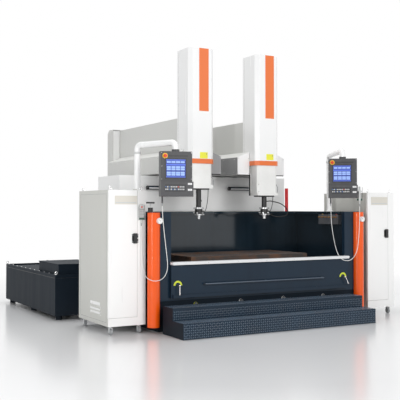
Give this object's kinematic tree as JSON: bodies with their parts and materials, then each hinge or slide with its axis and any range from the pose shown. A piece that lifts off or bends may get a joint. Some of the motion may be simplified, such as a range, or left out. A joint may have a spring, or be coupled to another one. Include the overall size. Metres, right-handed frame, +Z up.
{
  "type": "electrical discharge machine",
  "caption": "Large die-sinking electrical discharge machine with a drop-door tank, two ram heads, swinging control panels, cabinets, oil tank and steps.",
  "frame": {"origin": "on the floor, under the middle of the work table, where the tank is centred from left to right", "axes": "+X to the right seen from the front, +Y from the front door to the back, +Z up"},
  "size_m": [4.7779, 4.942, 3.897],
  "materials": {
    "arm_white": "gloss white tube",
    "bar_steel": "semi-gloss slate",
    "base_paint": "semi-gloss dark navy paint",
    "body_white": "satin white paint",
    "bright_steel": "bright plated",
    "cabinet_white": "satin white paint",
    "cable_black": "soft black jacket",
    "caster_zinc": "zinc plated",
    "chuck_black": "black with bright screws",
    "cord_white": "soft white jacket",
    "cover_white": "gloss white with an orange foot band",
    "drive_steel": "ground steel",
    "handle_black": "matt black",
    "handset_grey": "matt light grey",
    "lamp_tube": "white tube with black caps",
    "manifold_iron": "machined block",
    "oil_paint": "semi-gloss dark navy paint",
    "orange_gloss": "gloss orange",
    "panel_grey": "fine matt texture",
    "pull_black": "matt black",
    "quill_satin": "satin silver grey",
    "rail_silver": "satin silver white",
    "rail_steel": "ground steel",
    "ram_grey": "satin light grey paint",
    "red_pipe": "gloss red",
    "saddle_grey": "satin light grey and white paint",
    "screen_blue": "lit blue screen",
    "step_plate": "semi-gloss paint on chequer plate",
    "stop_orange": "gloss orange red",
    "table_iron": "ground and oiled iron",
    "tank_paint": "semi-gloss navy paint",
    "wheel_black": "matt black tread",
    "white_gloss": "gloss white"
  },
  "bodies": {
    "machine": {"machine_base": "base_paint", "work_tank": "tank_paint", "work_table": "table_iron", "machine_body": "body_white", "x_rails": "rail_steel", "x_screw": "rail_steel", "entry_steps": "step_plate", "corner_columns": "orange_gloss", "tank_gauges": "white_gloss", "flushing_manifold": "manifold_iron", "oil_standpipe": "red_pipe", "work_lamps": "lamp_tube", "oil_tank": "oil_paint", "filter_box": "oil_paint", "lifting_eyes": "bright_steel", "cabinet_left": "cabinet_white", "cabinet_right": "cabinet_white", "caster_frames": "caster_zinc", "handset_left": "handset_grey", "cord_left": "cord_white"},
    "wheels_left_front": {"left_front_wheels": "wheel_black"},
    "wheels_left_rear": {"left_rear_wheels": "wheel_black"},
    "wheels_right_front": {"right_front_wheels": "wheel_black"},
    "wheels_right_rear": {"right_rear_wheels": "wheel_black"},
    "left_cabinet_door": {"cabinet_door_left": "cabinet_white"},
    "right_cabinet_door": {"cabinet_door_right": "cabinet_white"},
    "left_handle": {"door_handle_left": "handle_black"},
    "right_handle": {"door_handle_right": "handle_black"},
    "front_door": {"tank_door": "tank_paint", "door_top_rail": "rail_silver", "grab_bar": "bar_steel"},
    "left_latch": {"latch_left": "bright_steel"},
    "right_latch": {"latch_right": "bright_steel"},
    "drain_pull": {"drain_handle": "pull_black"},
    "left_arm": {"arm_left": "arm_white"},
    "right_arm": {"arm_right": "arm_white"},
    "left_panel": {"panel_left": "panel_grey", "screen_left": "screen_blue"},
    "right_panel": {"panel_right": "panel_grey", "screen_right": "screen_blue", "handset_right": "handset_grey", "cord_right": "cord_white"},
    "left_stop": {"stop_button_left": "stop_orange"},
    "right_stop": {"stop_button_right": "stop_orange"},
    "left_saddle": {"saddle_left": "saddle_grey", "y_drive_left": "drive_steel"},
    "right_saddle": {"saddle_right": "saddle_grey", "y_drive_right": "drive_steel"},
    "left_head": {"ram_left": "ram_grey", "head_cover_left": "cover_white", "z_drive_left": "drive_steel"},
    "right_head": {"ram_right": "ram_grey", "head_cover_right": "cover_white", "z_drive_right": "drive_steel"},
    "left_quill": {"quill_left": "quill_satin", "chuck_left": "chuck_black", "head_cables_left": "cable_black"},
    "right_quill": {"quill_right": "quill_satin", "chuck_right": "chuck_black", "head_cables_right": "cable_black"}
  },
  "joints": [
    {"name": "left_saddle_x", "type": "slide", "parent": "machine", "child": "left_saddle", "axis": [1, 0, 0], "range_m": [-0.335, 0.14]},
    {"name": "left_head_y", "type": "slide", "parent": "left_saddle", "child": "left_head", "axis": [0, 1, 0], "range_m": [-0.45, 0.15]},
    {"name": "left_quill_z", "type": "slide", "parent": "left_head", "child": "left_quill", "axis": [0, 0, 1], "range_m": [-0.45, 0.025]},
    {"name": "right_saddle_x", "type": "slide", "parent": "machine", "child": "right_saddle", "axis": [1, 0, 0], "range_m": [-0.14, 0.335]},
    {"name": "right_head_y", "type": "slide", "parent": "right_saddle", "child": "right_head", "axis": [0, 1, 0], "range_m": [-0.45, 0.15]},
    {"name": "right_quill_z", "type": "slide", "parent": "right_head", "child": "right_quill", "axis": [0, 0, 1], "range_m": [-0.45, 0.12]},
    {"name": "front_door_hinge", "type": "hinge", "parent": "machine", "child": "front_door", "pos_m": [0, -0.85, 0.438], "axis": [1, 0, 0], "range_deg": [0, 90]},
    {"name": "left_latch_turn", "type": "hinge", "parent": "front_door", "child": "left_latch", "pos_m": [-1.355, -0.906, 0.6], "axis": [0, 1, 0], "range_deg": [-90, 90]},
    {"name": "right_latch_turn", "type": "hinge", "parent": "front_door", "child": "right_latch", "pos_m": [1.355, -0.906, 0.6], "axis": [0, 1, 0], "range_deg": [-60, 90]},
    {"name": "drain_pull_slide", "type": "slide", "parent": "machine", "child": "drain_pull", "axis": [0, 0, 1], "range_m": [0, 0.08]},
    {"name": "left_cabinet_door_hinge", "type": "hinge", "parent": "machine", "child": "left_cabinet_door", "pos_m": [-2.263, -0.713, 0.9], "axis": [0, 0, 1], "range_deg": [-110, 0]},
    {"name": "left_handle_turn", "type": "hinge", "parent": "left_cabinet_door", "child": "left_handle", "pos_m": [-1.899, -0.713, 1.215], "axis": [0, 1, 0], "range_deg": [-90, 0]},
    {"name": "right_cabinet_door_hinge", "type": "hinge", "parent": "machine", "child": "right_cabinet_door", "pos_m": [1.86, -0.816, 0.9], "axis": [0, 0, 1], "range_deg": [-110, 0]},
    {"name": "right_handle_turn", "type": "hinge", "parent": "right_cabinet_door", "child": "right_handle", "pos_m": [2.224, -0.816, 1.215], "axis": [0, 1, 0], "range_deg": [-90, 0]},
    {"name": "left_arm_swing", "type": "hinge", "parent": "machine", "child": "left_arm", "pos_m": [-1.812, -0.587, 1.9], "axis": [0, 0, 1], "range_deg": [-45, 35]},
    {"name": "right_arm_swing", "type": "hinge", "parent": "machine", "child": "right_arm", "pos_m": [1.67, -0.144, 1.9], "axis": [0, 0, 1], "range_deg": [-5, 45]},
    {"name": "left_panel_turn", "type": "hinge", "parent": "left_arm", "child": "left_panel", "pos_m": [-1.57585, -1.20866, 2.3], "axis": [0, 0, 1], "range_deg": [-60, 60]},
    {"name": "right_panel_turn", "type": "hinge", "parent": "right_arm", "child": "right_panel", "pos_m": [1.15751, -1.0958, 2.3], "axis": [0, 0, 1], "range_deg": [-25, 60]},
    {"name": "left_stop_press", "type": "slide", "parent": "left_panel", "child": "left_stop", "axis": [0.2419, 0.9703, 0], "range_m": [0, 0.006], "stiffness_N_per_m": 900},
    {"name": "right_stop_press", "type": "slide", "parent": "right_panel", "child": "right_stop", "axis": [0.6293, 0.7771, 0], "range_m": [0, 0.006], "stiffness_N_per_m": 900},
    {"name": "left_front_wheels_roll", "type": "hinge", "parent": "machine", "child": "wheels_left_front", "pos_m": [-2.0085, -0.638, 0.0375], "axis": [1, 0, 0], "continuous": true},
    {"name": "left_rear_wheels_roll", "type": "hinge", "parent": "machine", "child": "wheels_left_rear", "pos_m": [-2.0085, 0.252, 0.0375], "axis": [1, 0, 0], "continuous": true},
    {"name": "right_front_wheels_roll", "type": "hinge", "parent": "machine", "child": "wheels_right_front", "pos_m": [2.1145, -0.741, 0.0375], "axis": [1, 0, 0], "continuous": true},
    {"name": "right_rear_wheels_roll", "type": "hinge", "parent": "machine", "child": "wheels_right_rear", "pos_m": [2.1145, 0.149, 0.0375], "axis": [1, 0, 0], "continuous": true}
  ]
}
